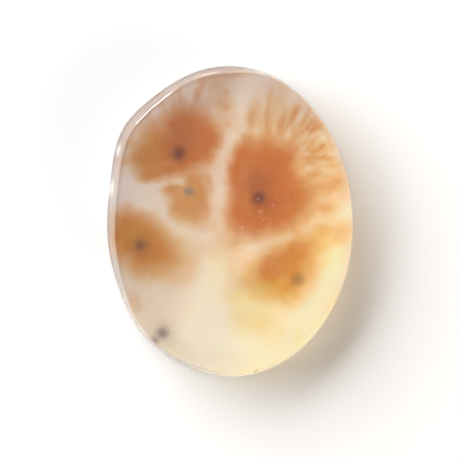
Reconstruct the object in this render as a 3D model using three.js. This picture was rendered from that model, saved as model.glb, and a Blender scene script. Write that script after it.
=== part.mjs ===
import * as THREE from "three";

// A polished oval stone of dendritic agate, in one piece, lying on its flat base.
// Millimetres, +Z up. Its long way is Y and its short way is X. The origin is the middle of
// the stone's outline, on the surface that the base rests on.

// Outline: an ellipse ground by hand, with four stretches that stray from it.
// Each stray stretch is a smooth swell at an angle in degrees, turned from +X towards +Y.
// Its height is how far it moves the line out, and its spread is half its width in degrees.
const HALF_WIDTH = 11.95;
const HALF_LENGTH = 15.05;
const SHOULDER = { angle: 140, height: 0.75, spread: 11.5 };
const FLATTENED_SIDE = { angle: 39, height: -0.4, spread: 30 };
const HEEL = { angle: 231, height: 0.28, spread: 12.5 };
const LEFT_FLANK = { angle: 192, height: 0.08, spread: 11 };
const SWELLS = [SHOULDER, FLATTENED_SIDE, HEEL, LEFT_FLANK];

// Side, from the base up. An inset is how far a level lies inside the widest outline.
const BASE_INSET = 0.65;
const BEVEL_INSET = 0.16;
const BEVEL_HEIGHT = 0.42;
const GIRDLE_HEIGHT = 1.7;
const EDGE_HEIGHT = 4.45;
const SIDE_STEPS = 5;

// Top edge: the side leans in by this much, and less or more at the stretches that stray.
const EDGE_INSET = 0.62;
const STEEP_SIDE = { angle: 34, height: -0.48, spread: 28 };
const STEEP_END = { angle: 75, height: -0.2, spread: 8 };
const LEANING_END = { angle: 92, height: 0.2, spread: 8 };
const LEANING_SHOULDER = { angle: 142, height: 0.12, spread: 9 };
const STEEP_HEEL = { angle: 224, height: -0.34, spread: 16 };
const STEEP_FOOT = { angle: 280, height: -0.2, spread: 25 };
const LEANS = [STEEP_SIDE, STEEP_END, LEANING_END, LEANING_SHOULDER, STEEP_HEEL, STEEP_FOOT];

// Top: a low dome that meets the side in a defined edge, slightly softened by polishing.
const DOME_RISE = 1.5;
const EDGE_SOFTNESS = 0.2;
const EDGE_STEPS = 4;
const DOME_RINGS = 13;

// Facets round the outline
const COLUMNS = 120;

/** How far several swells move a line at an angle in degrees: the sum of their bell curves. */
function strayAt(angle, swells) {
  let stray = 0;
  for (const swell of swells) {
    const away = THREE.MathUtils.euclideanModulo(angle - swell.angle + 180, 360) - 180;
    stray += swell.height * Math.exp(-0.5 * (away / swell.spread) ** 2);
  }
  return stray;
}

/** How far the outline lies from the middle, at an angle in degrees. */
function outlineRadius(angle) {
  const turn = THREE.MathUtils.degToRad(angle);
  const across = Math.hypot(HALF_LENGTH * Math.cos(turn), HALF_WIDTH * Math.sin(turn));
  return (HALF_WIDTH * HALF_LENGTH) / across + strayAt(angle, SWELLS);
}

/** Height of the dome where it has come in by the given share of the way from edge to middle. */
function domeHeight(share) {
  return EDGE_HEIGHT + DOME_RISE * (1 - (1 - share) ** 2);
}

/** Levels of the side as [inset, height] pairs: the base's bevel, the girdle, and the lean above. */
function sideLevels(edgeInset) {
  const levels = [[BASE_INSET, 0], [BEVEL_INSET, BEVEL_HEIGHT]];
  const below = GIRDLE_HEIGHT - BEVEL_HEIGHT;
  const above = EDGE_HEIGHT - EDGE_SOFTNESS - GIRDLE_HEIGHT;
  levels.push([BEVEL_INSET / 4, BEVEL_HEIGHT + below / 2], [0, GIRDLE_HEIGHT]);
  for (let step = 1; step <= SIDE_STEPS; step++) {
    const climb = step / SIDE_STEPS;
    levels.push([edgeInset * climb ** 2, GIRDLE_HEIGHT + above * climb]);
  }
  return levels;
}

/** Levels of the softened edge at one angle: a curve from the side over the corner to the dome. */
function edgeLevels(edgeInset, reach) {
  const side = new THREE.Vector2(edgeInset, EDGE_HEIGHT - EDGE_SOFTNESS);
  const corner = new THREE.Vector2(edgeInset, EDGE_HEIGHT);
  const share = EDGE_SOFTNESS / reach;
  const dome = new THREE.Vector2(edgeInset + EDGE_SOFTNESS, domeHeight(share));
  const bend = new THREE.QuadraticBezierCurve(side, corner, dome);
  return bend.getPoints(EDGE_STEPS).slice(1).map((point) => [point.x, point.y]);
}

/** Levels of the dome at one angle, from just inside the edge to the last ring round the middle. */
function domeLevels(edgeInset, reach) {
  const levels = [];
  const start = EDGE_SOFTNESS / reach;
  for (let ring = 1; ring < DOME_RINGS; ring++) {
    const share = start + (1 - start) * (ring / DOME_RINGS);
    levels.push([edgeInset + reach * share, domeHeight(share)]);
  }
  return levels;
}

/** The stone as one closed skin: columns of points round the middle, joined level by level. */
function stoneGeometry() {
  const points = [];
  let levelCount = 0;
  for (let column = 0; column < COLUMNS; column++) {
    const angle = (360 * column) / COLUMNS;
    const turn = THREE.MathUtils.degToRad(angle);
    const radius = outlineRadius(angle);
    const edgeInset = EDGE_INSET + strayAt(angle, LEANS);
    const reach = radius - edgeInset;
    const side = [...sideLevels(edgeInset), ...edgeLevels(edgeInset, reach)];
    const levels = [...side, ...domeLevels(edgeInset, reach)];
    levelCount = levels.length;
    for (const [inset, height] of levels) {
      const out = radius - inset;
      points.push(out * Math.cos(turn), out * Math.sin(turn), height);
    }
  }
  const baseMiddle = COLUMNS * levelCount;
  const domeMiddle = baseMiddle + 1;
  points.push(0, 0, 0, 0, 0, domeHeight(1));

  const faces = [];
  for (let column = 0; column < COLUMNS; column++) {
    const here = column * levelCount;
    const next = ((column + 1) % COLUMNS) * levelCount;
    faces.push(baseMiddle, next, here);
    for (let level = 0; level < levelCount - 1; level++) {
      const low = [here + level, next + level];
      const high = [here + level + 1, next + level + 1];
      faces.push(low[0], low[1], high[1]);
      faces.push(low[0], high[1], high[0]);
    }
    faces.push(here + levelCount - 1, next + levelCount - 1, domeMiddle);
  }

  const geometry = new THREE.BufferGeometry();
  geometry.setAttribute("position", new THREE.Float32BufferAttribute(points, 3));
  geometry.setIndex(faces);
  geometry.computeBoundingBox();
  const middle = geometry.boundingBox.getCenter(new THREE.Vector3());
  geometry.translate(-middle.x, -middle.y, 0);
  geometry.computeVertexNormals();
  return geometry;
}

/** The stone: translucent cream chalcedony with amber clouds, seen as one warm tone here. */
function makeStone() {
  const agate = new THREE.MeshStandardMaterial({ color: 0xdfb890, roughness: 0.08, metalness: 0 });
  const stone = new THREE.Mesh(stoneGeometry(), agate);
  stone.name = "agate_stone";
  return stone;
}

const specimen = new THREE.Group();
specimen.add(makeStone());

export default specimen;
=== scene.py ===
"""Dresses the dendritic agate stone and lights it on a plain pale ground.

The stone is one piece: a hand-ground oval with a low dome, polished all over. Its sizes are written
in millimetres, as a lapidary measures them, and become metres where a mesh or a lamp is made. The
places of clouds, rays and dendrites are millimetres from the middle of the oval, seen from above.
"""
import logging
import math
from dataclasses import dataclass
from enum import Enum
from typing import TypeAlias

import bpy
import numpy as np
from mathutils import Matrix, Vector


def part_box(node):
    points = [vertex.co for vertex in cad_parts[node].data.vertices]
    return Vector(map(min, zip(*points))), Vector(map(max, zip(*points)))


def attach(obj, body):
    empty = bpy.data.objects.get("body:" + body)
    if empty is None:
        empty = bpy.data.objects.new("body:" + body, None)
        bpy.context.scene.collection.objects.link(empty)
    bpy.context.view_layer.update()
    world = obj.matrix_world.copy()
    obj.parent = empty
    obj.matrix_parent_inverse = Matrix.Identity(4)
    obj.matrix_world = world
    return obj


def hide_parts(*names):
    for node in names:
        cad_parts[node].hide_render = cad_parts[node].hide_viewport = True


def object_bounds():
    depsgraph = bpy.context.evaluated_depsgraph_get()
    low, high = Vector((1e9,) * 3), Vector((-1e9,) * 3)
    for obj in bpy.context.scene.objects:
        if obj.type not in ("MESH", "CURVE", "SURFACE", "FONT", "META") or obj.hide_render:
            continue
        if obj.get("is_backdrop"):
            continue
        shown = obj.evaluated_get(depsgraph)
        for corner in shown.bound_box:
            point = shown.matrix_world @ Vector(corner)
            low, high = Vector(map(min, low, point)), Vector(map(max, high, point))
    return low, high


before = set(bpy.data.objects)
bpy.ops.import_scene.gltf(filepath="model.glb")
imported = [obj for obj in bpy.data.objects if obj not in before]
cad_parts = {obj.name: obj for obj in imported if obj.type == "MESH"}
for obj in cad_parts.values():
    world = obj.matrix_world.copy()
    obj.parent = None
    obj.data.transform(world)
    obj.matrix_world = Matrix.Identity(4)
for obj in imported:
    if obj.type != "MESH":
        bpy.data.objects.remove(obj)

CAD_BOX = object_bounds()
NODE = "agate_stone"
MM = 0.001
FADE = 0.75

logging.basicConfig(level=logging.INFO, format="%(message)s")
LOG = logging.getLogger("agate")

Pair = tuple[float, float]
Triple = tuple[float, float, float]
Socket = bpy.types.NodeSocket
Feed: TypeAlias = "Value | Socket | float | tuple"


class Blend(Enum):
    """How one colour goes over another."""

    COVER = "MIX"
    FILTER = "MULTIPLY"


# The ground and polished form


@dataclass(frozen=True)
class Swell:
    """A stretch where an outline strays from its plain course, in degrees and millimetres."""

    angle: float
    height: float
    spread: float


@dataclass(frozen=True)
class Dent:
    """A small hollow: where its middle is, how wide it is, and how far and which way it goes in."""

    place: Triple
    width: float
    depth: float
    way: Triple


@dataclass
class StoneForm:
    """The stone's skin as surfaces over an oval, in millimetres."""

    half_width: float = 11.95
    half_length: float = 15.05
    swells: tuple[Swell, ...] = (
        Swell(140, 0.75, 11.5),
        Swell(39, -0.4, 30),
        Swell(231, 0.28, 12.5),
        Swell(192, 0.08, 11),
    )
    base_inset: float = 0.65
    base_softness: float = 0.12
    bevel_inset: float = 0.16
    bevel_height: float = 0.42
    girdle_height: float = 1.7
    edge_inset: float = 0.62
    edge_swells: tuple[Swell, ...] = (
        Swell(34, -0.48, 28),
        Swell(75, -0.2, 8),
        Swell(92, 0.2, 8),
        Swell(142, 0.12, 9),
        Swell(224, -0.34, 16),
        Swell(280, -0.2, 25),
    )
    edge_height: float = 4.45
    edge_softness: float = 0.17
    dome_rise: float = 1.5
    dents: tuple[Dent, ...] = (
        Dent((2.2, -14.3, 4.5), 0.16, 0.09, (0.0, 0.7, -0.7)),
        Dent((2.35, 2.35, 5.9), 0.17, 0.06, (0.0, 0.0, -1.0)),
    )
    cells: int = 160
    base_steps: int = 6
    side_steps: int = 30
    edge_steps: int = 14

    def radius(self, turn: np.ndarray) -> np.ndarray:
        """Distance from the middle to the outline.

        An ellipse's polar form, a b over the root of (b cos)^2 + (a sin)^2, plus a bell curve
        for each swell.

        Args:
            turn: angles from +X in radians.

        Returns:
            The distances in millimetres.
        """
        across = np.hypot(self.half_length * np.cos(turn), self.half_width * np.sin(turn))
        return self.half_width * self.half_length / across + swelling(self.swells, turn)

    def inset(self, turn: np.ndarray) -> np.ndarray:
        """How far the top edge lies in from the outline."""
        return self.edge_inset + swelling(self.edge_swells, turn)

    def dome(self, share: np.ndarray) -> np.ndarray:
        """Height of the dome: a parabola of the share of the way from its middle to its edge."""
        return self.edge_height + self.dome_rise * (1.0 - share ** 2)

    def side(self, turn: np.ndarray) -> np.ndarray:
        """Works out the side, from the flat of the base up to the foot of the dome.

        The base's corner and the top edge are quadratic curves. Between them the inset is a
        parabola of the height, on each side of the girdle, where it is nothing.

        Args:
            turn: the angle of each column in radians.

        Returns:
            Insets and heights, as levels by columns by two.
        """
        inset = self.inset(turn)
        reach = self.radius(turn) - inset
        corner = np.array([self.base_inset, 0.0])
        slope = np.array([self.bevel_inset, self.bevel_height]) - corner
        slope = slope / np.linalg.norm(slope)
        start = corner + [self.base_softness, 0.0]
        foot = bend(start, corner, corner + slope * self.base_softness, self.base_steps)

        low = np.linspace(self.bevel_height, self.girdle_height, self.side_steps // 3, endpoint=False)
        below = (self.girdle_height - low) / (self.girdle_height - self.bevel_height)
        top = self.edge_height - self.edge_softness
        high = np.linspace(self.girdle_height, top, self.side_steps, endpoint=False)
        above = (high - self.girdle_height) / (top - self.girdle_height)
        bevel = np.concatenate([foot, np.stack([self.bevel_inset * below ** 2, low], axis=-1)])
        bevel = np.repeat(bevel[:, None, :], turn.size, axis=1)
        lean = np.stack(np.broadcast_arrays(inset * above[:, None] ** 2, high[:, None]), axis=-1)

        side_end = np.stack([inset, np.full(turn.shape, top)], axis=-1)
        ridge = np.stack([inset, np.full(turn.shape, self.edge_height)], axis=-1)
        dome_start = self.dome(1.0 - self.edge_softness / reach)
        dome_start = np.stack([inset + self.edge_softness, dome_start], axis=-1)
        edge = bend(side_end, ridge, dome_start[None], self.edge_steps)
        return np.concatenate([bevel, lean, edge])

    def skin(self) -> tuple[np.ndarray, np.ndarray]:
        """Works out the whole closed skin.

        The dome and the base are a square grid pressed into the oval: a point's ring is the
        greater of its two distances from the middle, and its angle is its place along that ring.
        The side joins their borders, level by level.

        Returns:
            The points, and the corners of the four-sided faces.
        """
        ring, turn = oval_grid(self.cells)
        radius = self.radius(turn)
        reach = radius - self.inset(turn)
        inner = ring * (reach - self.edge_softness)
        top = polar(inner, turn, self.dome(inner / reach))
        under = polar(ring * (radius - self.base_inset - self.base_softness), turn, 0.0 * turn)

        border = grid_border(self.cells)
        edge_turn = turn.ravel()[border]
        levels = self.side(edge_turn)[1:-1]
        out = self.radius(edge_turn) - levels[..., 0]
        side = polar(out, np.broadcast_to(edge_turn, out.shape), levels[..., 1])

        points = np.concatenate([under.reshape(-1, 3), top.reshape(-1, 3), side.reshape(-1, 3)])
        first_top = (self.cells + 1) ** 2
        first_side = 2 * first_top
        inside = first_side + np.arange(side.shape[0] * border.size).reshape(side.shape[0], -1)
        rows = np.concatenate([border[None], inside, border[None] + first_top])
        patch = grid_faces(np.arange(first_top).reshape(self.cells + 1, -1))
        wall = grid_faces(np.concatenate([rows, rows[:, :1]], axis=1))
        faces = np.concatenate([patch[:, ::-1], patch + first_top, wall])
        return self.dented(points), faces

    def dented(self, points: np.ndarray) -> np.ndarray:
        """Presses each dent into the skin.

        A point moves the dent's way by depth exp(-(away / width)^2), with away its distance from
        the dent's middle.

        Args:
            points: the skin's points.

        Returns:
            The points, with the dents in.
        """
        for dent in self.dents:
            away = np.linalg.norm(points - np.array(dent.place), axis=1)
            fall = dent.depth * np.exp(-(away / dent.width) ** 2)
            points = points + fall[:, None] * np.array(dent.way)
        return points

    def build(self, name: str, node: str) -> bpy.types.Object:
        """Makes the stone's mesh, set in the box that its CAD node fills.

        Args:
            name: the new object's name.
            node: the CAD node whose place it takes.

        Returns:
            The object, at the origin, with its place in its mesh.
        """
        points, faces = self.skin()
        low, high = (np.array(corner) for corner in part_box(node))
        raw_low, raw_high = points.min(axis=0), points.max(axis=0)
        points = low + (points - raw_low) * (high - low) / (raw_high - raw_low)
        mesh = bpy.data.meshes.new(name)
        mesh.from_pydata(points.tolist(), [], faces.tolist())
        mesh.polygons.foreach_set("use_smooth", np.ones(len(faces), dtype=bool))
        mesh.validate()
        stone = bpy.data.objects.new(name, mesh)
        bpy.context.scene.collection.objects.link(stone)
        return stone


def swelling(swells: tuple[Swell, ...], turn: np.ndarray) -> np.ndarray:
    """The sum of several swells at some angles: h exp(-(away / spread)^2 / 2) for each.

    Args:
        swells: the swells.
        turn: angles from +X in radians.

    Returns:
        What they add at each angle, in millimetres.
    """
    total = np.zeros_like(turn)
    for swell in swells:
        away = (np.degrees(turn) - swell.angle + 180.0) % 360.0 - 180.0
        total = total + swell.height * np.exp(-0.5 * (away / swell.spread) ** 2)
    return total


def bend(start: np.ndarray, corner: np.ndarray, end: np.ndarray, steps: int) -> np.ndarray:
    """Rounds a corner with a quadratic curve: (1-t)^2 start + 2t(1-t) corner + t^2 end.

    Args:
        start: the point where the curve leaves the first line.
        corner: the point where the two lines would meet.
        end: the point, or one point a column, where it joins the second line.
        steps: how many steps the curve takes.

    Returns:
        Its points, from start to end, along the first axis.
    """
    share = np.linspace(0.0, 1.0, steps + 1)
    share = share.reshape(-1, *[1] * (np.ndim(end) - 1)) if np.ndim(end) > 1 else share[:, None]
    return (1 - share) ** 2 * start + 2 * share * (1 - share) * corner + share ** 2 * end


def polar(radius: np.ndarray, turn: np.ndarray, height: np.ndarray) -> np.ndarray:
    """Points from distances out, angles and heights: (r cos, r sin, z)."""
    return np.stack([radius * np.cos(turn), radius * np.sin(turn), height], axis=-1)


def oval_grid(cells: int) -> tuple[np.ndarray, np.ndarray]:
    """Rings and angles of a square grid pressed into a disc.

    Args:
        cells: how many cells lie along a side of the square.

    Returns:
        Each point's ring, from 0 in the middle to 1 at the border, and its angle in radians.
    """
    line = np.linspace(-1.0, 1.0, cells + 1)
    across, along = np.meshgrid(line, line)
    wide = np.abs(across) >= np.abs(along)
    ring = np.where(wide, np.abs(across), np.abs(along))
    safe = np.where(ring > 0, ring, 1.0)
    quarter = np.pi / 4
    beside = quarter * along * np.sign(across) / safe + np.pi * (across < 0)
    above = np.pi / 2 - quarter * across * np.sign(along) / safe + np.pi * (along < 0)
    return ring, np.where(wide, beside, above)


def grid_border(cells: int) -> np.ndarray:
    """Indices round the border of a square grid, turning from +X towards +Y."""
    index = np.arange((cells + 1) ** 2).reshape(cells + 1, -1)
    return np.concatenate([index[:-1, -1], index[-1, :0:-1], index[:0:-1, 0], index[0, :-1]])


def grid_faces(index: np.ndarray) -> np.ndarray:
    """Four-sided faces between the points of a grid, turning from its columns to its rows."""
    corners = index[:-1, :-1], index[:-1, 1:], index[1:, 1:], index[1:, :-1]
    return np.stack(corners, axis=-1).reshape(-1, 4)


# Shader sheets


class Sheet:
    """The node sheet of one material, with one way of adding a node."""

    def __init__(self, tree: bpy.types.NodeTree) -> None:
        """Clears the sheet."""
        self.tree = tree
        self.tree.nodes.clear()

    def add(self, kind: str, settings: dict, sockets: dict) -> bpy.types.Node:
        """Adds a node.

        Args:
            kind: the node's type.
            settings: its own settings. stops are those of a colour ramp, and lie is the
                patch over which a texture is laid.
            sockets: the values or links of its inputs, by name or number.

        Returns:
            The node.
        """
        node = self.tree.nodes.new(kind)
        for name, value in settings.items():
            if name == "stops":
                set_stops(node.color_ramp, value)
            elif name == "lie":
                value.lay(node.texture_mapping)
            else:
                setattr(node, name, value)
        for key, value in sockets.items():
            value = value.socket if isinstance(value, Value) else value
            if isinstance(value, bpy.types.NodeSocket):
                self.tree.links.new(value, node.inputs[key])
            else:
                node.inputs[key].default_value = value
        return node

    def number(self, kind: str, settings: dict, sockets: dict, output: int | str = 0) -> "Value":
        """Adds a node and gives one of its outputs as a number to reckon with."""
        return Value(self, self.add(kind, settings, sockets).outputs[output])

    def link(self, kind: str, settings: dict, sockets: dict, output: int | str = 0) -> Socket:
        """Adds a node and gives one of its outputs, a colour or a vector."""
        return self.add(kind, settings, sockets).outputs[output]

    def vector(self, operation: str, *values: Feed) -> Socket:
        """Vector arithmetic on two or three vectors."""
        return self.link("ShaderNodeVectorMath", {"operation": operation}, dict(enumerate(values)))

    def colour(self, blend: Blend, share: Feed, under: Feed, over: Feed) -> Socket:
        """Lays one colour over another, as far as the share says."""
        settings = {"data_type": "RGBA", "blend_type": blend.value}
        return self.link("ShaderNodeMix", settings, {0: share, 6: under, 7: over}, 2)

    def ramp(self, value: Feed, stops: list, smooth: str = "LINEAR") -> Socket:
        """Reads a colour off a ramp."""
        settings = {"stops": [smooth, *stops]}
        return self.link("ShaderNodeValToRGB", settings, {0: value})

    def parts(self, colour: Socket) -> list[Socket]:
        """The red, green and blue of a colour."""
        return list(self.add("ShaderNodeSeparateColor", {}, {0: colour}).outputs)[:3]

    def step(self, value: Feed, low: Feed, high: Feed, top: float = 1.0) -> "Value":
        """A soft step.

        Args:
            value: the number that is read.
            low: where it gives 0.
            high: where it gives top, which may be below low.
            top: its greatest value.

        Returns:
            A number that rises smoothly from 0 to top.
        """
        sockets = {"Value": value, "From Min": low, "From Max": high, "To Min": 0.0, "To Max": top}
        settings = {"interpolation_type": "SMOOTHSTEP", "clamp": False}
        return self.number("ShaderNodeMapRange", settings, sockets)

    def place(self) -> Socket:
        """Object coordinates in millimetres."""
        coordinates = self.link("ShaderNodeTexCoord", {}, {}, "Object")
        return self.vector("MULTIPLY", coordinates, (1.0 / MM,) * 3)

    def height(self, place: Socket) -> "Value":
        """How high a place lies."""
        return self.number("ShaderNodeSeparateXYZ", {}, {0: place}, 2)

    def oval(self, flat: Socket, patch: "Patch", softness: float = FADE) -> "Value":
        """Reads a patch's strength.

        Args:
            flat: places seen from above.
            patch: the patch.
            softness: how far in from the border it is full, as a share of the way to the middle.

        Returns:
            The strength: full in the middle, fading smoothly to nothing at the border.
        """
        settings = {"gradient_type": "SPHERICAL", "lie": patch}
        inside = self.number("ShaderNodeTexGradient", settings, {"Vector": flat}, "Fac")
        return self.step(inside, 0.0, softness, patch.strength)

    def total(self, flat: Socket, patches: tuple["Patch", ...], softness: float = FADE) -> "Value":
        """Sums the strength of several patches.

        Args:
            flat: places seen from above.
            patches: the patches.
            softness: how far in from its border each patch is full.

        Returns:
            The sum.
        """
        total = self.oval(flat, patches[0], softness)
        for patch in patches[1:]:
            total = total + self.oval(flat, patch, softness)
        return total

    def noise(self, place: Socket, scale: float, detail: float = 2.0) -> "Value":
        """Smooth noise from 0 to 1, mostly near a half."""
        sockets = {"Vector": place, "Scale": scale, "Detail": detail}
        return self.number("ShaderNodeTexNoise", {}, sockets)

    def rays(self, local: Socket, count: float, stretch: float) -> "Value":
        """Noise in rays from a middle, read at count direction + stretch place.

        Args:
            local: places as seen from the middle.
            count: how close together the rays are.
            stretch: how fast the noise changes along a ray.

        Returns:
            A number from 0 to 1, mostly near a half.
        """
        outwards = self.vector("NORMALIZE", local)
        along = self.vector("MULTIPLY", local, (stretch,) * 3)
        return self.noise(self.vector("MULTIPLY_ADD", outwards, (count,) * 3, along), 1.0, 1.0)

    def tinted(self, flat: Socket, colour: Feed, tints: tuple["Tint", ...]) -> Socket:
        """Filters a colour through several tints.

        Args:
            flat: places seen from above.
            colour: the colour under them.
            tints: the tints.

        Returns:
            The filtered colour.
        """
        for tint in tints:
            share = self.oval(flat, tint.patch, tint.softness)
            colour = self.colour(Blend.FILTER, share, colour, (*tint.colour, 1.0))
        return colour


def set_stops(ramp: bpy.types.ColorRamp, stops: list) -> None:
    """Fills a colour ramp.

    Args:
        ramp: the ramp.
        stops: its interpolation, then each stop's place and colour.
    """
    ramp.interpolation = stops[0]
    while len(ramp.elements) > 1:
        ramp.elements.remove(ramp.elements[-1])
    for number, (place, colour) in enumerate(stops[1:]):
        element = ramp.elements[0] if number == 0 else ramp.elements.new(place)
        element.position = place
        element.color = (*colour, 1.0)


class Value:
    """A number on a socket: reckoning with it adds Math nodes to its sheet."""

    def __init__(self, sheet: Sheet, socket: bpy.types.NodeSocket) -> None:
        """Keeps the sheet and the socket."""
        self.sheet = sheet
        self.socket = socket

    def math(self, operation: str, *values: Feed) -> "Value":
        """Adds a Math node with the given inputs."""
        sockets = dict(enumerate(values))
        return self.sheet.number("ShaderNodeMath", {"operation": operation}, sockets)

    def __add__(self, other: Feed) -> "Value":
        """Sum."""
        return self.math("ADD", self, other)

    def __sub__(self, other: Feed) -> "Value":
        """Difference."""
        return self.math("SUBTRACT", self, other)

    def __rsub__(self, other: Feed) -> "Value":
        """Difference from a plain number."""
        return self.math("SUBTRACT", other, self)

    def __mul__(self, other: Feed) -> "Value":
        """Product."""
        return self.math("MULTIPLY", self, other)

    __radd__ = __add__
    __rmul__ = __mul__


# What lies in the stone


@dataclass(frozen=True)
class Patch:
    """A soft-edged oval patch: its middle, its two half sizes, its turn in degrees, its strength."""

    place: Pair
    size: Pair
    turn: float
    strength: float

    def lay(self, mapping: bpy.types.TexMapping) -> None:
        """Lays a texture over the patch: its origin in the middle, one unit to the border.

        Args:
            mapping: the texture node's own mapping.
        """
        mapping.vector_type = "TEXTURE"
        mapping.translation = (*self.place, 0.0)
        mapping.rotation = (0.0, 0.0, math.radians(self.turn))
        mapping.scale = (*self.size, 1.0)


@dataclass(frozen=True)
class Tint:
    """A patch that filters the colour under it, and how far in from its border it is full."""

    patch: Patch
    colour: Triple
    softness: float = FADE


@dataclass(frozen=True)
class SideLightAndShade:
    """Painted light and shade on the side: a patch, and what filters the side's colour there at each
    height in millimetres.
    """

    patch: Patch
    levels: tuple[tuple[float, Triple], ...]


@dataclass(frozen=True)
class Cloud:
    """An iron cloud grown out from a middle: at angles in degrees, its reach and its edge's width.

    It fades over its edge's width, times the finish's edge_width, on each side of its reach.
    """

    place: Pair
    strength: float
    border: tuple[Triple, ...]


@dataclass(frozen=True)
class Fan:
    """Rays of stain: where they start from, where they show, how many, and how clear they are."""

    place: Pair
    zone: Patch
    count: float
    contrast: float


@dataclass(frozen=True)
class Spot:
    """A round spot: its middle, its half size, how far it covers, and its colour."""

    place: Pair
    size: float
    strength: float
    colour: Triple


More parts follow.
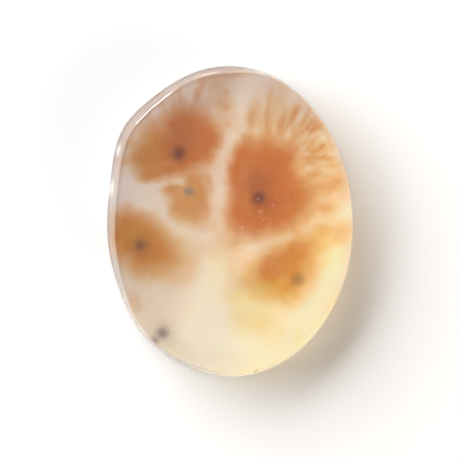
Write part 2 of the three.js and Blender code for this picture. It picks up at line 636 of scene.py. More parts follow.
@dataclass(frozen=True)
class AgateFinish:
    """The polished agate: milky chalcedony, stained by iron, with dark dendrites.

    Clouds, stains and streaks add iron. Gaps and thins take some away: gaps from the stains and
    streaks alone, thins from everything. Ochre patches turn the rust of the iron yellower, and a
    negative one redder. The milk carries a painted glow towards the lower right. Tints filter the
    colour of the inside, some of them painted haze and painted light and shade at the edge; painted
    light and shade filters that of the side; and a chip and a painted shade line that of the skin,
    which pale dust spots, painted highlights and specks cover.
    """

    clouds: tuple[Cloud, ...] = (
        Cloud((-5.3, 6.65), 1.95, (
            (0, 3.55, 1.3), (10, 4.0, 1.2), (20, 4.25, 1.2), (30, 4.35, 1.3), (45, 4.35, 1.6),
            (60, 4.3, 1.6), (75, 4.1, 1.6), (90, 3.95, 1.7), (105, 3.6, 1.8), (120, 3.2, 1.9),
            (135, 3.3, 2.0), (150, 3.4, 2.0), (165, 3.75, 1.9), (180, 4.2, 1.7),
            (190, 4.4, 1.5), (200, 4.25, 1.5), (210, 4.25, 1.4), (220, 4.2, 1.2),
            (230, 3.5, 1.1), (240, 2.75, 1.1), (255, 2.2, 1.0), (270, 2.05, 1.0),
            (290, 2.2, 1.0), (310, 2.1, 1.1), (330, 2.5, 1.2), (345, 3.1, 1.3),
        )),
        Cloud((-4.4, 3.0), 1.39, (
            (0, 1.9, 1.0), (20, 1.9, 1.0), (40, 1.9, 1.0), (60, 1.6, 1.0), (75, 1.3, 0.9),
            (90, 1.05, 0.8), (110, 0.75, 0.7), (135, 0.8, 0.8), (150, 1.2, 0.9),
            (165, 1.85, 1.0), (178, 2.3, 1.1), (190, 2.0, 1.1), (205, 1.8, 1.1),
            (220, 2.05, 1.1), (235, 2.7, 1.2), (250, 2.8, 1.3), (270, 2.9, 1.5), (285, 3.0, 1.6),
            (300, 3.05, 1.6), (315, 2.7, 1.4), (330, 2.2, 1.2), (345, 2.0, 1.1),
        )),
        Cloud((2.35, 2.4), 2.12, (
            (0, 5.5, 1.9), (10, 5.3, 1.8), (25, 4.7, 1.6), (35, 4.7, 1.6), (45, 5.0, 1.6),
            (53, 5.95, 1.8), (60, 5.65, 1.8), (75, 5.55, 1.6), (80, 5.75, 1.6), (90, 5.4, 1.5),
            (100, 5.6, 1.5), (107, 5.4, 1.4), (115, 5.0, 1.3), (125, 4.3, 1.2), (140, 3.65, 1.1),
            (160, 2.9, 1.2), (180, 2.72, 1.2), (195, 2.9, 1.2), (210, 3.4, 1.3), (220, 3.7, 1.4),
            (230, 3.9, 1.6), (240, 3.85, 1.6), (255, 3.75, 1.6), (270, 3.75, 1.5),
            (285, 3.55, 1.4), (300, 3.8, 1.4), (315, 4.15, 1.5), (330, 4.6, 1.6), (345, 5.1, 1.8),
        )),
        Cloud((-8.85, -2.25), 1.95, (
            (0, 3.1, 2.4), (15, 2.6, 2.0), (28, 2.6, 1.8), (50, 2.5, 1.6), (72, 2.7, 1.6),
            (86, 2.78, 1.6), (97, 2.98, 1.6), (108, 3.35, 1.6), (120, 3.55, 1.6), (130, 3.6, 1.6),
            (180, 3.0, 1.6), (210, 2.25, 1.8), (225, 1.9, 1.9), (240, 1.95, 2.1), (262, 2.55, 2.3),
            (285, 2.6, 2.4), (300, 2.75, 2.3), (315, 3.1, 2.2), (325, 3.3, 2.0),
            (335, 3.35, 1.9), (350, 3.2, 2.0),
        )),
        Cloud((4.8, -4.65), 2.05, (
            (0, 2.6, 2.2), (20, 2.8, 2.3), (35, 3.5, 2.4), (42, 4.0, 2.4), (53, 3.8, 2.2),
            (64, 3.5, 2.0), (80, 2.8, 1.8), (100, 2.3, 1.6), (126, 2.2, 1.6), (148, 2.4, 1.7),
            (167, 2.7, 1.8), (180, 3.0, 2.0), (195, 3.2, 2.2), (210, 3.1, 2.3), (225, 2.9, 2.3),
            (240, 2.6, 2.3), (255, 2.65, 2.3), (270, 2.75, 2.3), (285, 2.8, 2.3), (300, 2.7, 2.3),
            (315, 2.5, 2.3), (330, 2.45, 2.2), (345, 2.5, 2.2),
        )),
    )
    stains: tuple[Patch, ...] = (
        Patch((-5.35, -4.45), (3.1, 2.6), 0, 0.45),
        Patch((3.0, -5.6), (3.4, 2.8), 0, 0.5),
        Patch((-0.2, -6.8), (1.6, 1.5), 0, 0.16),
        Patch((4.0, -6.4), (1.3, 1.2), 0, 0.2),
        Patch((9.2, -1.35), (3.6, 1.9), 20, 0.7),
        Patch((-9.3, -7.55), (0.9, 1.6), 15, 0.3),
        Patch((-10.3, -4.0), (1.1, 1.1), 0, 0.22),
        Patch((0.05, -1.75), (1.0, 0.8), 0, 0.28),
        Patch((-1.1, 9.0), (1.1, 1.3), 0, 0.25),
        Patch((-9.9, 8.0), (0.8, 0.8), 0, 0.3),
        Patch((-10.1, 1.5), (1.2, 0.8), 0, 0.3),
        Patch((-5.2, 11.4), (1.2, 0.8), 0, 0.16),
        Patch((-6.2, 2.0), (0.9, 0.7), 0, 0.2),
        Patch((-2.75, 1.2), (0.9, 0.7), 0, 0.22),
        Patch((-2.3, 4.1), (0.7, 0.7), 0, 0.24),
        Patch((0.1, -1.6), (2.4, 1.6), 0, 0.36),
        Patch((-3.6, 4.7), (1.7, 1.2), 0, 0.6),
        Patch((-2.4, 5.7), (0.9, 1.5), 0, 0.25),
        Patch((-0.7, 10.6), (1.6, 2.2), 0, 0.3),
        Patch((2.0, 10.3), (1.2, 2.4), -8, 0.3),
        Patch((3.2, -2.7), (2.4, 0.9), 10, 0.3),
        Patch((-5.0, -2.6), (3.2, 2.2), 0, 0.3),
        Patch((-2.95, -0.4), (1.9, 1.1), 0, 0.25),
        Patch((6.6, 8.4), (6.6, 8.0), -30, 1.05),
        Patch((9.2, 4.6), (3.8, 4.6), 0, 0.6),
        Patch((8.1, -3.5), (2.1, 1.9), 20, 0.42),
        Patch((-6.0, 10.9), (7.0, 4.6), 25, 0.35),
        Patch((-1.3, -2.6), (2.6, 1.6), 0, 0.2),
        Patch((-2.0, 12.6), (3.0, 3.0), 0, 0.3),
        Patch((3.6, 9.2), (3.2, 2.6), 0, 0.2),
        Patch((8.9, 1.2), (2.0, 1.5), 0, 0.45),
        Patch((5.0, 3.4), (2.6, 5.2), 0, 0.2),
        Patch((-1.3, 6.4), (1.7, 4.6), -8, 0.15),
        Patch((-1.2, 0.2), (1.5, 2.6), 0, 0.25),
        Patch((4.8, -0.6), (5.6, 1.5), 12, 0.56),
        Patch((4.4, -2.2), (3.4, 0.9), 0, 0.24),
        Patch((8.6, -0.8), (1.4, 1.0), 0, 0.3),
        Patch((8.7, 3.1), (1.4, 0.9), 0, 0.3),
        Patch((-6.0, 4.2), (3.0, 0.9), 10, 0.36),
        Patch((-3.9, 3.9), (0.7, 0.9), 0, 0.25),
        Patch((-10.6, 5.2), (0.9, 1.3), 0, 0.2),
        Patch((-5.0, 10.7), (2.0, 1.0), 15, 0.16),
        Patch((0.2, 9.3), (1.2, 1.3), 0, 0.16),
        Patch((1.6, -9.2), (2.4, 1.6), 0, 0.12),
        Patch((0.6, -4.4), (2.0, 3.4), 0, 0.42),
        Patch((6.2, 0.8), (3.2, 3.2), 0, 0.12),
        Patch((-3.9, 4.0), (1.0, 0.9), 0, 0.35),
        Patch((-2.4, 3.6), (0.8, 1.4), 0, 0.3),
    )
    streaks: tuple[Patch, ...] = (
        Patch((1.75, 10.05), (0.65, 2.1), -10, 0.3),
        Patch((3.3, 9.65), (0.5, 2.6), 0, 0.36),
        Patch((3.6, 12.25), (0.6, 1.6), -10, 0.28),
        Patch((4.95, 10.6), (0.4, 1.9), -8, 0.2),
        Patch((5.95, 10.3), (0.7, 1.8), -25, 0.22),
        Patch((6.3, 8.4), (0.4, 1.6), -38, 0.35),
        Patch((7.6, 8.9), (1.2, 0.7), 40, 0.42),
        Patch((8.55, 8.9), (0.65, 0.6), 0, 0.7),
        Patch((7.3, 7.6), (0.9, 0.3), 15, 0.3),
        Patch((9.15, 7.3), (1.2, 0.65), 15, 0.85),
        Patch((9.25, 6.05), (1.7, 0.45), 0, 0.6),
        Patch((9.75, 3.15), (0.8, 0.45), 0, 0.35),
        Patch((6.9, 9.5), (0.4, 0.8), -35, 0.3),
        Patch((7.4, 8.8), (0.6, 0.5), 0, 0.25),
        Patch((9.8, 3.85), (1.4, 0.75), 0, 0.42),
        Patch((8.9, 1.25), (1.0, 0.65), 0, 0.55),
        Patch((9.2, 2.7), (0.7, 0.6), 0, 0.25),
        Patch((-5.05, 12.25), (0.6, 1.2), 0, 0.3),
        Patch((-6.8, 11.5), (0.6, 0.6), 0, 0.25),
        Patch((-7.95, 10.3), (0.65, 0.65), 0, 0.3),
        Patch((-9.5, 8.85), (0.5, 0.5), 0, 0.25),
        Patch((-10.05, 7.4), (0.7, 0.7), 0, 0.35),
        Patch((-10.45, 5.8), (1.2, 0.7), 0, 0.45),
        Patch((-3.45, 11.75), (0.35, 1.6), 0, 0.3),
        Patch((-2.85, 13.4), (0.6, 0.8), 0, 0.15),
        Patch((-1.3, 12.9), (0.7, 1.3), 0, 0.25),
        Patch((0.3, 14.4), (2.8, 1.1), 0, 0.35),
        Patch((-0.65, 12.35), (0.6, 0.6), 0, 0.3),
        Patch((-0.65, 10.9), (0.6, 0.6), 0, 0.3),
        Patch((-0.5, 9.35), (0.5, 0.7), 0, 0.2),
    )
    gaps: tuple[Patch, ...] = (
        Patch((2.3, 8.6), (0.8, 1.2), 0, 0.6),
        Patch((2.65, 10.35), (0.45, 1.6), -11, 0.45),
        Patch((2.95, 11.5), (0.55, 0.95), 0, 0.35),
        Patch((3.15, 12.55), (0.45, 0.95), 0, 0.25),
        Patch((4.0, 8.6), (0.5, 1.0), 0, 0.5),
        Patch((4.3, 10.5), (0.45, 1.7), -8, 0.45),
        Patch((4.7, 12.15), (0.5, 0.7), 0, 0.25),
        Patch((5.15, 8.1), (0.6, 1.1), -25, 0.6),
        Patch((6.3, 9.75), (0.45, 1.6), -32, 0.6),
        Patch((5.7, 11.5), (0.5, 0.5), 0, 0.35),
        Patch((5.25, 10.3), (0.3, 0.7), 0, 0.2),
        Patch((7.0, 8.1), (1.1, 0.4), 45, 0.25),
        Patch((8.55, 8.1), (0.8, 0.8), 0, 0.35),
        Patch((7.8, 8.4), (1.0, 0.4), 0, 0.2),
        Patch((6.2, 7.55), (0.45, 0.45), 0, 0.25),
        Patch((6.1, 6.0), (1.1, 0.65), 20, 0.5),
        Patch((8.5, 5.6), (1.2, 0.8), 0, 0.4),
        Patch((5.3, 11.4), (1.0, 2.0), -20, 0.35),
        Patch((6.8, 10.3), (0.9, 1.3), -35, 0.3),
        Patch((7.15, 6.85), (1.05, 0.55), 40, 0.15),
        Patch((8.05, 7.35), (0.9, 0.6), 30, 0.4),
        Patch((7.0, 6.5), (0.7, 0.4), 0, 0.5),
        Patch((8.65, 6.45), (1.6, 0.35), 0, 0.35),
        Patch((6.45, 4.65), (1.2, 0.65), 30, 0.9),
        Patch((7.35, 5.1), (0.9, 0.65), 0, 0.6),
        Patch((8.9, 4.95), (1.6, 0.6), 0, 0.65),
        Patch((7.95, 2.2), (1.1, 0.65), 0, 0.5),
        Patch((5.9, 12.0), (1.6, 1.5), 0, 0.6),
        Patch((-7.2, 10.3), (0.8, 1.0), 20, 0.9),
        Patch((-8.15, 9.25), (0.9, 0.6), -30, 0.7),
        Patch((-9.15, 8.1), (1.1, 0.6), -25, 0.6),
        Patch((-9.8, 6.75), (0.5, 0.75), 0, 0.6),
        Patch((-6.05, 11.2), (0.5, 0.5), 0, 0.2),
        Patch((-4.1, 11.75), (0.45, 1.45), 0, 0.4),
        Patch((-2.7, 12.15), (0.5, 1.3), -15, 0.4),
        Patch((-1.8, 10.6), (0.55, 1.3), -15, 0.5),
        Patch((-1.25, 9.65), (0.55, 0.7), 0, 0.5),
    )
    cloud_cover: float = 0.65
    gap_depth: float = 0.8
    gap_most: float = 0.6
    thins: tuple[Patch, ...] = (
        Patch((1.0, 3.4), (1.6, 4.0), 0, 0.1),
        Patch((1.7, 6.9), (1.0, 0.9), 0, 0.12),
        Patch((6.4, 12.0), (3.2, 0.95), -48, 0.5),
        Patch((9.4, 7.5), (3.4, 1.1), -67, 0.5),
        Patch((8.4, 7.9), (0.8, 0.7), 0, 0.3),
        Patch((8.0, 10.2), (1.0, 0.7), -50, 0.35),
        Patch((-4.6, 3.0), (1.1, 1.0), 0, 0.2),
        Patch((-7.2, 5.2), (2.2, 0.9), 15, 0.12),
        Patch((-10.9, -2.5), (0.6, 1.1), 0, 0.15),
        Patch((-6.4, 8.4), (1.8, 1.3), 0, 0.08),
        Patch((-8.4, 6.6), (1.8, 1.8), 0, 0.06),
        Patch((4.9, -5.6), (1.0, 1.0), 0, 0.15),
    )
    ochre: tuple[Patch, ...] = (
        Patch((-8.6, 6.4), (3.6, 4.6), -15, 0.8),
        Patch((-4.4, 2.6), (3.4, 3.4), 0, 0.7),
        Patch((-7.6, -3.0), (6.0, 5.0), 0, 0.85),
        Patch((-10.2, -0.2), (2.8, 3.4), 0, 0.55),
        Patch((5.5, -6.0), (6.5, 5.5), 0, 1.1),
        Patch((3.8, -4.2), (2.4, 2.0), 20, -0.6),
        Patch((0.3, -4.0), (3.0, 3.0), 0, 0.7),
        Patch((4.5, 9.8), (5.0, 4.0), 0, 0.4),
        Patch((9.5, -1.5), (4.0, 3.0), 0, 0.9),
        Patch((1.5, -9.0), (6.0, 4.5), 0, 0.9),
        Patch((9.5, 3.5), (6.0, 8.0), 0, 0.35),
    )
    ochre_most: float = 1.25
    smoke: tuple[Patch, ...] = (
        Patch((-5.0, 7.3), (2.4, 2.4), 0, 0.16),
        Patch((-5.0, 9.0), (2.2, 2.6), 0, 0.12),
        Patch((2.3, 3.4), (2.0, 2.8), 0, 0.16),
        Patch((2.15, 3.7), (1.2, 1.4), 0, 0.14),
        Patch((2.8, 1.5), (1.9, 1.7), 0, 0.12),
        Patch((-8.85, -2.25), (1.8, 1.8), 0, 0.25),
        Patch((6.2, -5.5), (1.1, 1.1), 0, 0.2),
    )
    dendrites: tuple[Spot, ...] = (
        Spot((-5.9, 6.5), 1.4, 0.15, (0.24, 0.07, 0.04)),
        Spot((-5.2, 6.4), 1.08, 0.85, (0.14, 0.055, 0.05)),
        Spot((-4.9, 6.9), 0.7, 0.4, (0.16, 0.06, 0.05)),
        Spot((2.36, 2.25), 1.15, 0.55, (0.18, 0.08, 0.06)),
        Spot((2.32, 2.3), 0.9, 0.6, (0.14, 0.06, 0.05)),
        Spot((-4.2, 2.9), 0.8, 0.95, (0.27, 0.19, 0.15)),
        Spot((-8.85, -2.25), 0.85, 0.6, (0.12, 0.06, 0.055)),
        Spot((6.3, -5.55), 1.0, 0.5, (0.33, 0.2, 0.07)),
        Spot((-6.7, -10.55), 1.0, 0.85, (0.24, 0.2, 0.18)),
        Spot((-7.45, -11.3), 0.7, 0.7, (0.24, 0.2, 0.18)),
    )
    chip_and_shade_line: tuple[Tint, ...] = (
        Tint(Patch((2.25, -14.3), (0.36, 0.2), 20, 1.0), (0.68, 0.62, 0.45), 0.8),
        # A painted shade line, just inside the top left edge under the glint.
        Tint(Patch((-7.98, 10.5), (1.9, 0.12), 44, 1.0), (0.74, 0.68, 0.64), 1.0),
    )
    dust_and_painted_highlights: tuple[Tint, ...] = (
        # A painted highlight: the ring of light in the pit by the middle cloud's dark core.
        Tint(Patch((2.3, 2.18), (0.26, 0.22), 0, 0.55), (0.48, 0.30, 0.24), 1.0),
        # Pale dust spots.
        Tint(Patch((2.55, 0.95), (0.42, 0.3), 0, 0.2), (0.84, 0.50, 0.38), 1.0),
        Tint(Patch((3.79, 1.6), (0.16, 0.32), 0, 0.26), (0.86, 0.52, 0.40), 1.0),
        Tint(Patch((0.8, -0.55), (0.24, 0.34), 0, 0.35), (0.88, 0.52, 0.38), 1.0),
        # Painted highlights: the window's reflection in the left side, in two places, and a line of
        # light along the top edge.
        Tint(Patch((-10.84, 6.87), (0.3, 1.0), -12, 0.35), (0.97, 0.93, 0.90), 1.0),
        Tint(Patch((-11.5, 3.2), (0.35, 1.3), -4, 0.4), (0.97, 0.95, 0.93), 1.0),
        Tint(Patch((-2.3, 14.1), (1.9, 0.22), 14, 0.3), (0.95, 0.85, 0.80), 1.0),
    )
    speck_fields: tuple[Patch, ...] = (
        Patch((2.3, -0.2), (3.2, 2.2), 0, 0.26),
        Patch((4.4, -4.6), (3.4, 3.2), 0, 0.16),
        Patch((-7.6, 7.2), (3.4, 3.6), 0, 0.08),
    )
    speck_scale: float = 2.0
    speck_size: float = 0.24
    speck_core: float = 0.4
    speck_colour: Triple = (0.90, 0.58, 0.42)
    # The milk pales from the upper left to the lower right: partly the stone's own zoning, partly
    # painted light, the glow of light come through the stone, which also evens out the lamps' shading
    # of the dome.
    milk_and_glow: tuple[tuple[float, Triple], ...] = (
        (0.09, (0.51, 0.425, 0.38)),
        (0.20, (0.585, 0.49, 0.41)),
        (0.33, (0.66, 0.55, 0.425)),
        (0.42, (0.72, 0.605, 0.475)),
        (0.50, (0.78, 0.70, 0.55)),
        (0.60, (0.80, 0.72, 0.59)),
        (0.70, (0.87, 0.81, 0.61)),
        (0.80, (0.96, 0.84, 0.60)),
        (0.92, (0.98, 0.83, 0.58)),
    )
    milk_and_glow_way: Pair = (0.035, -0.015)
    milk_and_glow_middle: float = 0.5
    rust_filter: Triple = (0.16, 0.585, 1.0)
    ochre_filter: Triple = (0.15, 0.465, 1.0)
    fibre_count: float = 3.0
    fibre_length: float = 0.22
    lobe_scale: float = 0.7
    lobe_length: float = 0.6
    edge_width: float = 0.8
    mottle_scale: float = 1.3
    mottle_detail: float = 3.0
    mottle: float = 0.3
    fans: tuple[Fan, ...] = (
        Fan((2.35, 2.4), Patch((7.0, 8.0), (7.6, 8.6), -30, 1.0), 8.0, 0.32),
        Fan((-5.3, 6.65), Patch((-5.0, 11.0), (7.5, 5.0), 20, 1.0), 6.0, 0.5),
    )
    fan_stretch: float = 0.25
    fan_step: Pair = (0.6, 0.4)
    stirs: tuple[Pair, ...] = ((0.45, 0.4), (1.1, 0.3))
    smoke_colour: Triple = (0.20, 0.075, 0.055)
    # The first tint greys and cools the top: painted haze, where the polish reflects the room. The
    # thin tints along the outline, at (9.8, -8.3), (10.45, 5.4), (-10.7, 6.2), (10.9, -2.2), (10.6,
    # 3.4) and (-1.0, 14.35), paint light and shade at the edge.
    tints: tuple[Tint, ...] = (
        Tint(Patch((6.5, 15.5), (11.0, 9.0), 0, 1.0), (0.82, 0.80, 0.89)),
        Tint(Patch((-1.2, 2.0), (4.0, 10.0), 0, 1.0), (0.98, 0.94, 0.95)),
        Tint(Patch((3.3, 3.2), (4.2, 4.2), 0, 1.0), (0.94, 0.86, 0.90)),
        Tint(Patch((-2.6, 13.0), (5.0, 3.4), 20, 1.0), (0.86, 0.84, 0.85)),
        Tint(Patch((-8.0, -6.0), (4.6, 6.0), 10, 1.0), (0.94, 0.935, 0.94)),
        Tint(Patch((-1.3, -4.6), (1.8, 4.4), 0, 1.0), (1.0, 0.99, 0.88)),
        Tint(Patch((-3.5, 10.6), (4.4, 1.8), 5, 1.0), (0.93, 0.92, 0.94)),
        Tint(Patch((9.8, -8.3), (1.4, 3.4), -28, 1.0), (0.98, 0.96, 0.87)),
        Tint(Patch((10.45, 5.4), (0.6, 3.8), 17, 1.0), (0.98, 1.07, 1.32), 1.0),
        Tint(Patch((5.6, 4.3), (1.9, 2.4), 0, 1.0), (1.08, 1.10, 1.04)),
        Tint(Patch((-10.7, 6.2), (0.9, 2.8), -12, 1.0), (0.93, 0.92, 0.90)),
        Tint(Patch((-4.4, 12.9), (2.6, 0.9), 22, 1.0), (1.08, 1.12, 1.17)),
        Tint(Patch((10.9, -2.2), (1.5, 3.6), -8, 1.0), (1.0, 0.95, 0.88)),
        Tint(Patch((9.2, -3.0), (2.2, 3.2), 0, 1.0), (1.07, 1.09, 1.0)),
        Tint(Patch((10.6, 3.4), (1.2, 2.4), 8, 1.0), (0.97, 0.92, 0.88)),
        Tint(Patch((0.9, -3.6), (2.0, 2.4), 0, 1.0), (1.09, 1.07, 1.05)),
        Tint(Patch((4.4, -6.4), (2.4, 1.4), 0, 1.0), (1.0, 0.97, 0.84)),
        Tint(Patch((0.4, -7.2), (1.8, 1.2), 0, 1.0), (1.0, 1.0, 0.83)),
        Tint(Patch((-6.7, -10.6), (2.2, 2.2), 30, 1.0), (0.90, 0.90, 0.90)),
        Tint(Patch((-5.4, -11.8), (3.0, 1.3), -35, 1.0), (0.93, 0.92, 0.90)),
        Tint(Patch((-1.5, -13.4), (5.0, 1.7), 0, 1.0), (0.96, 0.95, 0.95)),
        Tint(Patch((-0.2, 14.1), (1.4, 1.2), 0, 1.0), (0.96, 0.91, 0.91)),
        Tint(Patch((-1.0, 14.35), (2.8, 0.4), 3, 1.0), (1.06, 1.12, 1.15)),
        Tint(Patch((1.4, -8.8), (3.2, 3.2), -15, 1.0), (0.97, 0.90, 0.70)),
        Tint(Patch((3.7, -10.1), (2.2, 2.6), 10, 1.0), (0.97, 0.91, 0.76)),
        Tint(Patch((6.2, -11.2), (0.9, 1.3), 0, 1.0), (1.0, 0.97, 0.84)),
    )
    # Painted light and shade on the side, by height: dark lines that stand for the edge's shade and
    # refraction, a lower side darkened as if in shade, and a darker line under the top edge that
    # offsets the lamps' reflection there.
    side_light_and_shade: tuple[SideLightAndShade, ...] = (
        SideLightAndShade(Patch((-9.5, 7.0), (17.0, 17.0), 0, 1.0), (
            (0.2, (0.82, 0.78, 0.75)),
            (1.4, (0.70, 0.64, 0.61)),
            (1.8, (0.58, 0.52, 0.49)),
            (2.4, (0.55, 0.50, 0.47)),
            (2.9, (0.70, 0.66, 0.63)),
            (3.3, (0.93, 0.91, 0.89)),
            (3.7, (1.0, 1.0, 1.0)),
        )),
        SideLightAndShade(Patch((-9.3, 9.5), (5.0, 5.0), 0, 1.0), (
            (2.5, (1.0, 1.0, 1.0)),
            (2.8, (0.70, 0.68, 0.68)),
            (3.1, (0.72, 0.70, 0.70)),
            (3.6, (0.86, 0.85, 0.85)),
            (4.4, (0.92, 0.91, 0.91)),
            (4.55, (1.0, 1.0, 1.0)),
        )),
        SideLightAndShade(Patch((-0.5, 15.0), (10.0, 8.0), 0, 1.0), (
            (0.4, (0.94, 0.92, 0.91)),
            (1.65, (0.82, 0.77, 0.75)),
            (2.7, (0.68, 0.63, 0.62)),
            (3.2, (0.68, 0.64, 0.63)),
            (3.6, (0.86, 0.83, 0.81)),
            (4.2, (0.95, 0.93, 0.92)),
            (4.5, (1.0, 1.0, 1.0)),
        )),
        SideLightAndShade(Patch((-9.0, 6.0), (16.0, 16.0), 0, 1.0), (
            (0.5, (0.90, 0.88, 0.86)),
            (2.6, (0.74, 0.72, 0.71)),
            (3.0, (0.72, 0.70, 0.68)),
            (3.3, (0.84, 0.82, 0.80)),
            (3.5, (0.82, 0.81, 0.79)),
            (3.8, (0.70, 0.69, 0.67)),
            (4.1, (0.80, 0.79, 0.77)),
            (4.3, (0.74, 0.73, 0.71)),
            (4.42, (0.64, 0.63, 0.61)),
            (4.5, (0.85, 0.84, 0.83)),
            (4.58, (1.0, 1.0, 1.0)),
        )),
        SideLightAndShade(Patch((-8.5, -10.0), (8.0, 8.0), 0, 1.0), (
            (0.5, (0.85, 0.87, 0.89)),
            (3.0, (0.82, 0.83, 0.86)),
            (4.3, (0.76, 0.77, 0.79)),
            (4.5, (1.0, 1.0, 1.0)),
        )),
        SideLightAndShade(Patch((11.5, 1.0), (9.0, 12.0), 0, 1.0), (
            (0.5, (0.97, 0.92, 0.92)),
            (4.2, (0.96, 0.93, 1.02)),
            (4.48, (0.97, 0.96, 1.06)),
            (4.65, (1.0, 1.0, 1.0)),
        )),
    )
    # On the side at the upper left, towards the lamps, iron is weaker: painted light, the side paler
    # where it is lit.
    lit_side_iron: float = 0.5
    wall_heights: Pair = (4.6, 4.2)
    lit_side_patch: Patch = Patch((-9.0, 6.0), (16.0, 16.0), 0, 1.0)
    wall_fade: float = 0.4
    index: float = 1.54
    scatter: Triple = (1.0, 0.7, 0.5)
    scatter_depth: float = 0.6
    dullness: Pair = (0.05, 0.04)
    dullness_scale: float = 0.4

    def dress(self, stone: bpy.types.Object) -> None:
        """Gives the stone its finish.

        Args:
            stone: the stone's object, read in its own coordinates.
        """
        material = bpy.data.materials.new("polished_agate")
        material.use_nodes = True
        sheet = Sheet(material.node_tree)
        place = sheet.place()
        flat = self.flat_place(sheet, place)
        colour = self.colour(sheet, place, flat)
        shader = sheet.add("ShaderNodeBsdfPrincipled", {}, {
            "Base Color": colour,
            "Roughness": self.roughness(sheet, place),
            "IOR": self.index,
            "Subsurface Weight": 1.0,
            "Subsurface Radius": self.scatter,
            "Subsurface Scale": self.scatter_depth * MM,
        })
        sheet.add("ShaderNodeOutputMaterial", {}, {"Surface": shader.outputs[0]})
        stone.data.materials.append(material)

    def flat_place(self, sheet: Sheet, place: Socket) -> Socket:
        """Sees places from above, stirred a little by smooth noise, differently at each height.

        Args:
            sheet: the finish's sheet.
            place: places in the stone.

        Returns:
            The stirred places, with no height.
        """
        stirred = place
        for scale, reach in self.stirs:
            noise = sheet.noise(place, scale).socket.node.outputs["Color"]
            swing = sheet.vector("SUBTRACT", noise, (0.5, 0.5, 0.5))
            stirred = sheet.vector("MULTIPLY_ADD", swing, (reach,) * 3, stirred)
        return sheet.vector("MULTIPLY", stirred, (1.0, 1.0, 0.0))

    def cloud(self, sheet: Sheet, flat: Socket, cloud: Cloud) -> Value:
        """Works out a cloud's iron: full within its reach, fading over its edge.

        Reach and edge are read off a smooth ramp of the angle. Fibres and lobes, which are noise
        in rays and plain noise, shift the edge in and out.

        Args:
            sheet: the finish's sheet.
            flat: places seen from above.
            cloud: the cloud.

        Returns:
            The iron.
        """
        local = sheet.vector("SUBTRACT", flat, (*cloud.place, 0.0))
        parts = sheet.add("ShaderNodeSeparateXYZ", {}, {0: local}).outputs
        across, along = Value(sheet, parts[0]), Value(sheet, parts[1])
        turn = across.math("ARCTAN2", along, across) * (0.5 / math.pi)
        turn = turn.math("FRACT", turn)
        longest = max(reach for _, reach, _ in cloud.border)
        stops = [(angle / 360.0, (reach / longest, edge / longest, 0.0))
                 for angle, reach, edge in cloud.border]
        stops.append((1.0, stops[0][1]))
        border = sheet.ramp(turn, stops, "CARDINAL")
        reach, edge = (Value(sheet, part) * longest for part in sheet.parts(border)[:2])
        away = sheet.number("ShaderNodeVectorMath", {"operation": "LENGTH"}, {0: local}, "Value")
        fibre = (0.5 - sheet.rays(local, self.fibre_count, 1.0)) * self.fibre_length
        lobe = (0.5 - sheet.noise(flat, self.lobe_scale, 1.0)) * self.lobe_length
        inside = away - reach + (fibre + lobe)
        fade = edge * self.edge_width
        return sheet.step(inside, fade, fade * -1.0, cloud.strength)

    def iron(self, sheet: Sheet, place: Socket, flat: Socket) -> Value:
        """Works out how strongly iron stains the stone.

        The clouds, and around them the stains and streaks, less where a cloud covers them, between
        the rays of the fans and in the gaps. All of it is mottled, and weaker on the side at the upper
        left,
        where the lamps fall: painted light that makes that side paler.

        Args:
            sheet: the finish's sheet.
            place: places in the stone.
            flat: the same places, seen from above and stirred.

        Returns:
            The iron.
        """
        body = self.cloud(sheet, flat, self.clouds[0])
        for cloud in self.clouds[1:]:
            body = body + self.cloud(sheet, flat, cloud)
        straight = sheet.vector("MULTIPLY", place, (1.0, 1.0, 0.0))
        around = sheet.total(flat, self.stains) + sheet.total(straight, self.streaks, 1.0)
        around = around * (1.0 - body.math("MINIMUM", body * self.cloud_cover, 1.0))
        for fan in self.fans:
            local = sheet.vector("SUBTRACT", straight, (*fan.place, 0.0))
            rays = sheet.rays(local, fan.count, self.fan_stretch)
            clear = sheet.step(rays, *self.fan_step, fan.contrast)
            around = around * (1.0 - clear * sheet.oval(flat, fan.zone))
        gaps = sheet.total(straight, self.gaps, 1.0)
        around = around * (1.0 - gaps.math("MINIMUM", gaps * self.gap_depth, self.gap_most))
        mottle = sheet.noise(place, self.mottle_scale, self.mottle_detail)
        mottle = (1.0 - self.mottle / 2) + mottle * self.mottle
        wall = sheet.step(sheet.height(place), *self.wall_heights, 1.0 - self.lit_side_iron)
        wall = wall * sheet.oval(flat, self.lit_side_patch, self.wall_fade)
        thin = sheet.total(flat, self.thins)
        return (body + around) * mottle * (1.0 - thin) * (1.0 - wall)

    def colour(self, sheet: Sheet, place: Socket, flat: Socket) -> Socket:
        """Works out the stone's colour: milk with a painted glow, filtered by iron, darkened by smoke
        and dendrites.

        Iron lets through exp(-iron filter) of each of red, green and blue.

        Args:
            sheet: the finish's sheet.
            place: places in the stone.
            flat: the same places, seen from above and stirred.

        Returns:
            The colour.
        """
        # The milk's painted glow grows along this way, towards the lower right.
        way = {0: flat, 1: (*self.milk_and_glow_way, 0.0)}
        zone = sheet.number("ShaderNodeVectorMath", {"operation": "DOT_PRODUCT"}, way, "Value")
        milk_and_glow = sheet.ramp(zone + self.milk_and_glow_middle, list(self.milk_and_glow))
        iron = self.iron(sheet, place, flat)
        ochre = sheet.total(flat, self.ochre)
        ochre = ochre.math("MINIMUM", ochre, self.ochre_most)
        passed = []
        for rust, change in zip(self.rust_filter, np.subtract(self.ochre_filter, self.rust_filter)):
            held = iron * (ochre * float(change) + rust)
            passed.append(held.math("EXPONENT", held * -1.0))
        stain = sheet.link("ShaderNodeCombineColor", {}, dict(enumerate(passed)))
        colour = sheet.colour(Blend.FILTER, 1.0, milk_and_glow, stain)
        colour = sheet.tinted(flat, colour, self.tints)
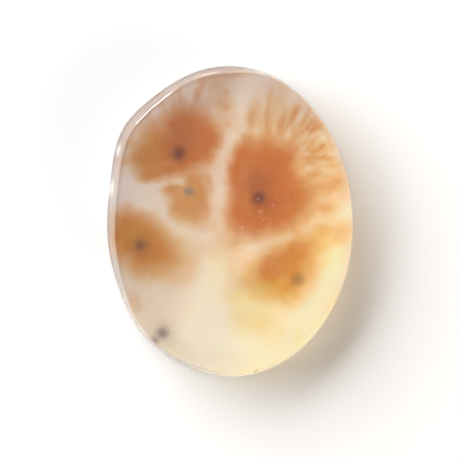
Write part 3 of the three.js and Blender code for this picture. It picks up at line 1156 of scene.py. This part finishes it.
        # Filters the side through its painted light and shade.
        for side_paint in self.side_light_and_shade:
            top = side_paint.levels[-1][0]
            levels = [(level / top, tone) for level, tone in side_paint.levels]
            wall = sheet.ramp(sheet.height(place) * (1.0 / top), levels)
            share = sheet.oval(flat, side_paint.patch, self.wall_fade)
            colour = sheet.colour(Blend.FILTER, share, colour, wall)
        smoke = sheet.total(flat, self.smoke)
        colour = sheet.colour(Blend.COVER, smoke, colour, (*self.smoke_colour, 1.0))
        for dendrite in self.dendrites:
            spot = Patch(dendrite.place, (dendrite.size, dendrite.size), 0, dendrite.strength)
            share = sheet.oval(flat, spot, 1.0)
            colour = sheet.colour(Blend.COVER, share, colour, (*dendrite.colour, 1.0))
        return self.skin_colour_and_highlights(sheet, place, colour)

    def skin_colour_and_highlights(self, sheet: Sheet, place: Socket, colour: Socket) -> Socket:
        """Adds what is laid on the skin: specks, pale dust spots, painted highlights, a chip and a
        painted shade line.

        Args:
            sheet: the finish's sheet.
            place: places in the stone.
            colour: the stone's colour.

        Returns:
            The colour of the skin.
        """
        straight = sheet.vector("MULTIPLY", place, (1.0, 1.0, 0.0))
        speck = self.speck(sheet, place) * sheet.total(straight, self.speck_fields)
        colour = sheet.colour(Blend.COVER, speck, colour, (*self.speck_colour, 1.0))
        # Pale dust spots and painted highlights cover the colour.
        for pale in self.dust_and_painted_highlights:
            share = sheet.oval(straight, pale.patch, pale.softness)
            colour = sheet.colour(Blend.COVER, share, colour, (*pale.colour, 1.0))
        return sheet.tinted(straight, colour, self.chip_and_shade_line)

    def speck(self, sheet: Sheet, place: Socket) -> Value:
        """Scatters tiny specks: balls round scattered points, of uneven size where the skin cuts them.

        Args:
            sheet: the finish's sheet.
            place: places in the stone.

        Returns:
            How far a speck covers each place, from 0 to 1.
        """
        sockets = {"Vector": place, "Scale": self.speck_scale}
        away = sheet.number("ShaderNodeTexVoronoi", {}, sockets, "Distance")
        return sheet.step(away, self.speck_size, self.speck_size * self.speck_core)

    def roughness(self, sheet: Sheet, place: Socket) -> Value:
        """The polish: nearly a mirror, a little duller in places."""
        least, change = self.dullness
        return least + sheet.noise(place, self.dullness_scale) * change


# The studio


@dataclass(frozen=True)
class Lamp:
    """A soft lamp: its bearing and elevation in degrees, and its distance and size in metres.

    Its power is the light that it gives, and its shine what shows of it in the polish, in watts.
    """

    name: str
    bearing: float
    elevation: float
    distance: float
    width: float
    height: float
    power: float
    shine: float
    colour: Triple = (1.0, 1.0, 1.0)


@dataclass
class Studio:
    """A plain pale ground, soft lamps, and a camera that looks down on the stone.

    The ground's width is in metres. Its drop, the camera's aim and the width of its view are in
    millimetres, and the camera leans by two angles in degrees, across the stone and along it.
    """

    ground_width: float = 0.8
    ground_drop: float = 0.02
    ground_colour: Triple = (0.88, 0.88, 0.88)
    ground_roughness: float = 0.9
    ground_shine: float = 0.2
    sky_strength: float = 0.162
    sky_colour: Triple = (1.0, 0.92, 0.85)
    lamps: tuple[Lamp, ...] = (
        Lamp("window", 143.0, 30.0, 0.6, 1.0, 0.42, 9.2, 3.0, (0.98, 1.0, 1.02)),
        Lamp("glint", 128.0, 49.0, 0.6, 0.16, 0.11, 0.0, 5.2),
        Lamp("far glint", 104.0, 40.0, 0.6, 0.12, 0.3, 0.0, 0.2),
        Lamp("bounce", -38.0, 15.5, 0.5, 0.56, 0.24, 2.6, 0.4, (1.0, 0.9, 0.78)),
    )
    aim: Triple = (0.0, -0.84, 1.7)
    lean: Pair = (-4.9, 1.0)
    lens: float = 200.0
    sensor: float = 36.0
    view_width: float = 44.44

    def build(self) -> None:
        """Lays the ground, sets the lamps, and points the camera."""
        self.ground()
        self.sky()
        for lamp in self.lamps:
            if lamp.power:
                self.light(lamp, lamp.power).visible_glossy = False
            self.light(lamp, lamp.shine).visible_diffuse = False
        self.camera()

    def ground(self) -> None:
        """Lays the ground just under the stone."""
        half = self.ground_width / 2
        low = -self.ground_drop * MM
        corners = [(-half, -half, low), (half, -half, low), (half, half, low), (-half, half, low)]
        mesh = bpy.data.meshes.new("ground")
        mesh.from_pydata(corners, [], [(0, 1, 2, 3)])
        material = bpy.data.materials.new("pale_ground")
        material.use_nodes = True
        sheet = Sheet(material.node_tree)
        shader = sheet.add("ShaderNodeBsdfPrincipled", {}, {
            "Base Color": (*self.ground_colour, 1.0),
            "Roughness": self.ground_roughness,
            "Specular IOR Level": self.ground_shine,
        })
        sheet.add("ShaderNodeOutputMaterial", {}, {"Surface": shader.outputs[0]})
        mesh.materials.append(material)
        ground = bpy.data.objects.new("ground", mesh)
        bpy.context.scene.collection.objects.link(ground)
        ground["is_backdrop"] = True

    def sky(self) -> None:
        """Fills the room with even light."""
        world = bpy.data.worlds.new("studio")
        world.use_nodes = True
        sheet = Sheet(world.node_tree)
        sockets = {"Color": (*self.sky_colour, 1.0), "Strength": self.sky_strength}
        glow = sheet.add("ShaderNodeBackground", {}, sockets)
        sheet.add("ShaderNodeOutputWorld", {}, {"Surface": glow.outputs[0]})
        bpy.context.scene.world = world

    def light(self, lamp: Lamp, power: float) -> bpy.types.Object:
        """Stands a lamp and turns it to the stone.

        Args:
            lamp: the lamp.
            power: how strong it is, in watts.

        Returns:
            The light.
        """
        bearing, elevation = math.radians(lamp.bearing), math.radians(lamp.elevation)
        out = Vector((
            math.cos(bearing) * math.cos(elevation),
            math.sin(bearing) * math.cos(elevation),
            math.sin(elevation),
        ))
        data = bpy.data.lights.new(lamp.name, "AREA")
        data.shape = "RECTANGLE"
        data.size = lamp.width
        data.size_y = lamp.height
        data.energy = power
        data.color = lamp.colour
        light = bpy.data.objects.new(lamp.name, data)
        light.location = out * lamp.distance
        light.rotation_euler = out.to_track_quat("Z", "Y").to_euler()
        bpy.context.scene.collection.objects.link(light)
        return light

    def camera(self) -> None:
        """Points the camera down at the stone, leaning as the photographer did."""
        across, along = (math.sin(math.radians(angle)) for angle in self.lean)
        back = Vector((across, along, math.sqrt(1.0 - across ** 2 - along ** 2)))
        right = Vector((0.0, 1.0, 0.0)).cross(back).normalized()
        up = back.cross(right)
        data = bpy.data.cameras.new("camera")
        data.sensor_width = self.sensor
        data.lens = self.lens
        distance = self.view_width * MM * self.lens / self.sensor
        spot = Vector(self.aim) * MM + back * distance
        camera = bpy.data.objects.new("camera", data)
        turn = Matrix((right, up, back)).transposed().to_4x4()
        camera.matrix_world = Matrix.Translation(spot) @ turn
        bpy.context.scene.collection.objects.link(camera)
        bpy.context.scene.camera = camera
        bpy.context.scene.view_settings.view_transform = "Standard"


def main() -> None:
    """Builds the studio and the stone, and reports the piece."""
    stone = StoneForm().build("polished_agate", NODE)
    AgateFinish().dress(stone)
    Studio().build()
    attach(stone, "root")
    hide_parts(NODE)
    size = tuple(round(side / MM, 2) for side in stone.dimensions)
    LOG.info("%s: %d faces, %s mm", stone.name, len(stone.data.polygons), size)
    boxes = {"cad": CAD_BOX, "visual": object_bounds()}
    boxes = {name: [list(map(float, corner)) for corner in box] for name, box in boxes.items()}


if __name__ == "__main__":
    main()
